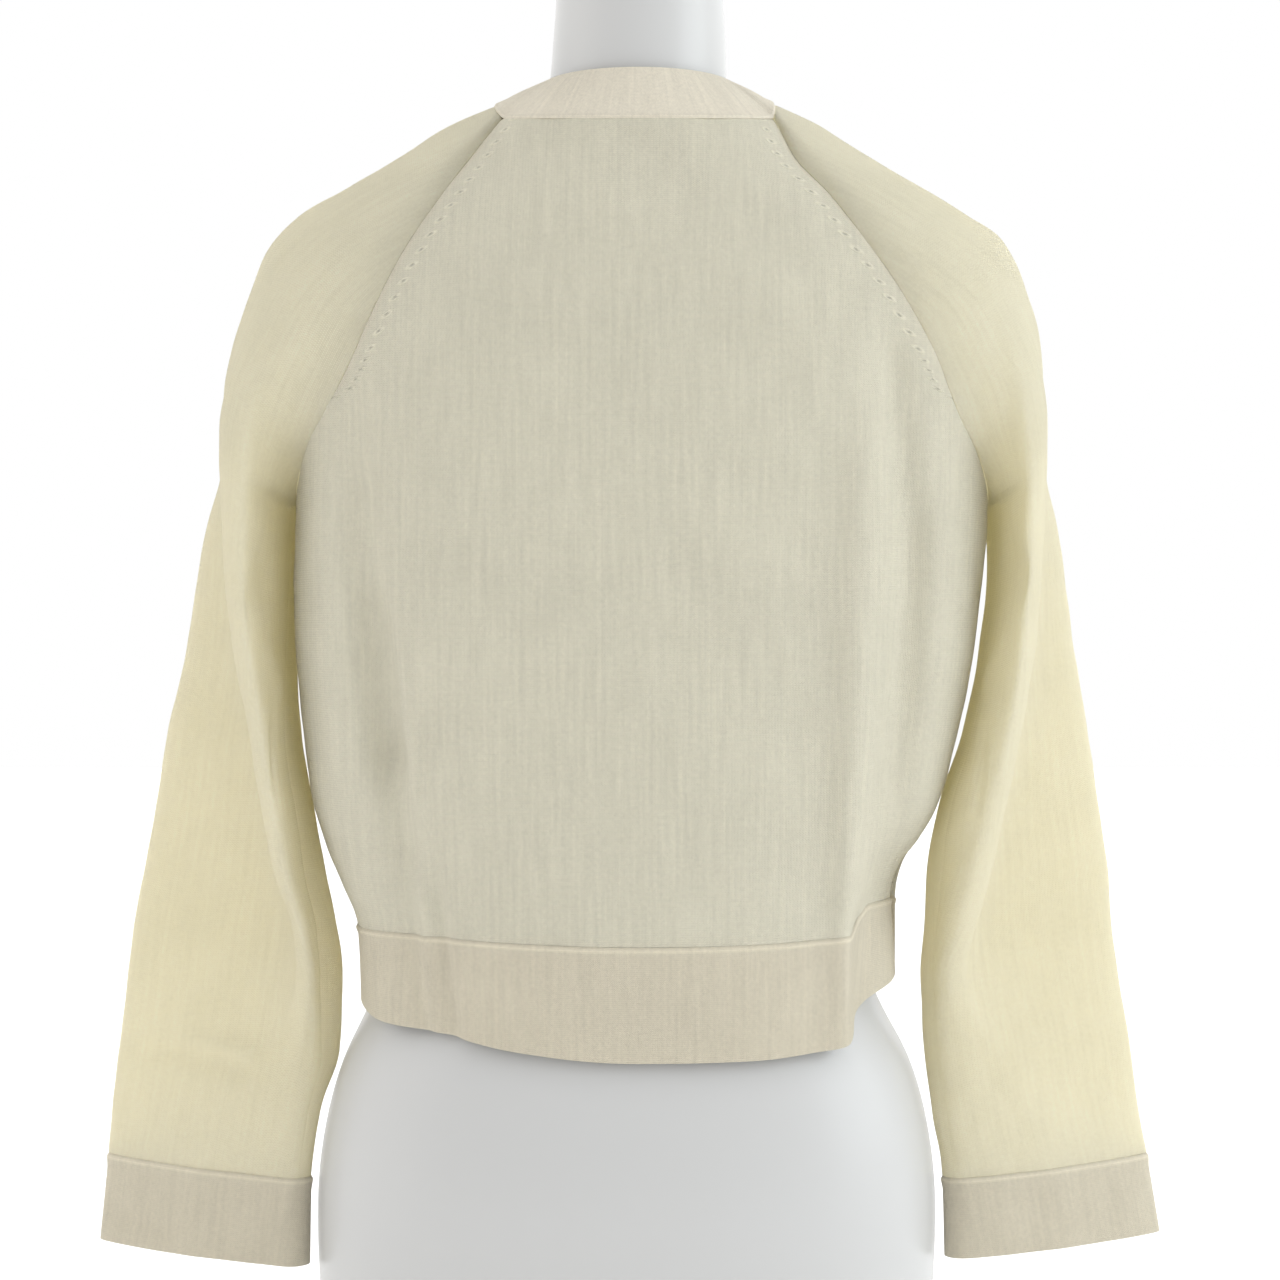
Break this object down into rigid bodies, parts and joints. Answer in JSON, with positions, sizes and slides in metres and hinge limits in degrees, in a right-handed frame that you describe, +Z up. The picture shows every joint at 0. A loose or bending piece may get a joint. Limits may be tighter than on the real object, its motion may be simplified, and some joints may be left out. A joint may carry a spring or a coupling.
{
  "type": "cardigan on dress form",
  "caption": "Cropped raglan cardigan with a plain neckband, cuffs and hem band, buttoned in front, worn by a smooth armless dress form.",
  "frame": {"origin": "on the flat base of the dress form, under the middle of its neck", "axes": "+Z up; -Y the way the garment's back faces, which is the side that the picture shows; +Y the way its buttoned front faces; +X the wearer's right"},
  "size_m": [0.5562, 0.2314, 0.745],
  "materials": {
    "body_knit": "fine plain knit in pale cream, softly brushed and matt",
    "sleeve_knit": "the same fine plain knit, a little warmer where light comes through one layer",
    "band_knit": "denser fine knit in pale beige cream, matt",
    "button_pearl": "glossy ivory plastic",
    "form_gloss": "smooth glossy white moulding"
  },
  "bodies": {
    "root": {"back_panel": "body_knit", "front_panel_left": "body_knit", "front_panel_right": "body_knit", "sleeve_left": "sleeve_knit", "sleeve_right": "sleeve_knit", "neckband": "band_knit", "hem_band_back": "band_knit", "hem_band_front_left": "band_knit", "hem_band_front_right": "band_knit", "cuff_left": "band_knit", "cuff_right": "band_knit", "button_band_left": "band_knit", "button_band_right": "band_knit", "button_1": "button_pearl", "button_2": "button_pearl", "button_3": "button_pearl", "button_4": "button_pearl", "button_5": "button_pearl", "button_6": "button_pearl", "button_7": "button_pearl", "dress_form": "form_gloss"}
  },
  "joints": []
}
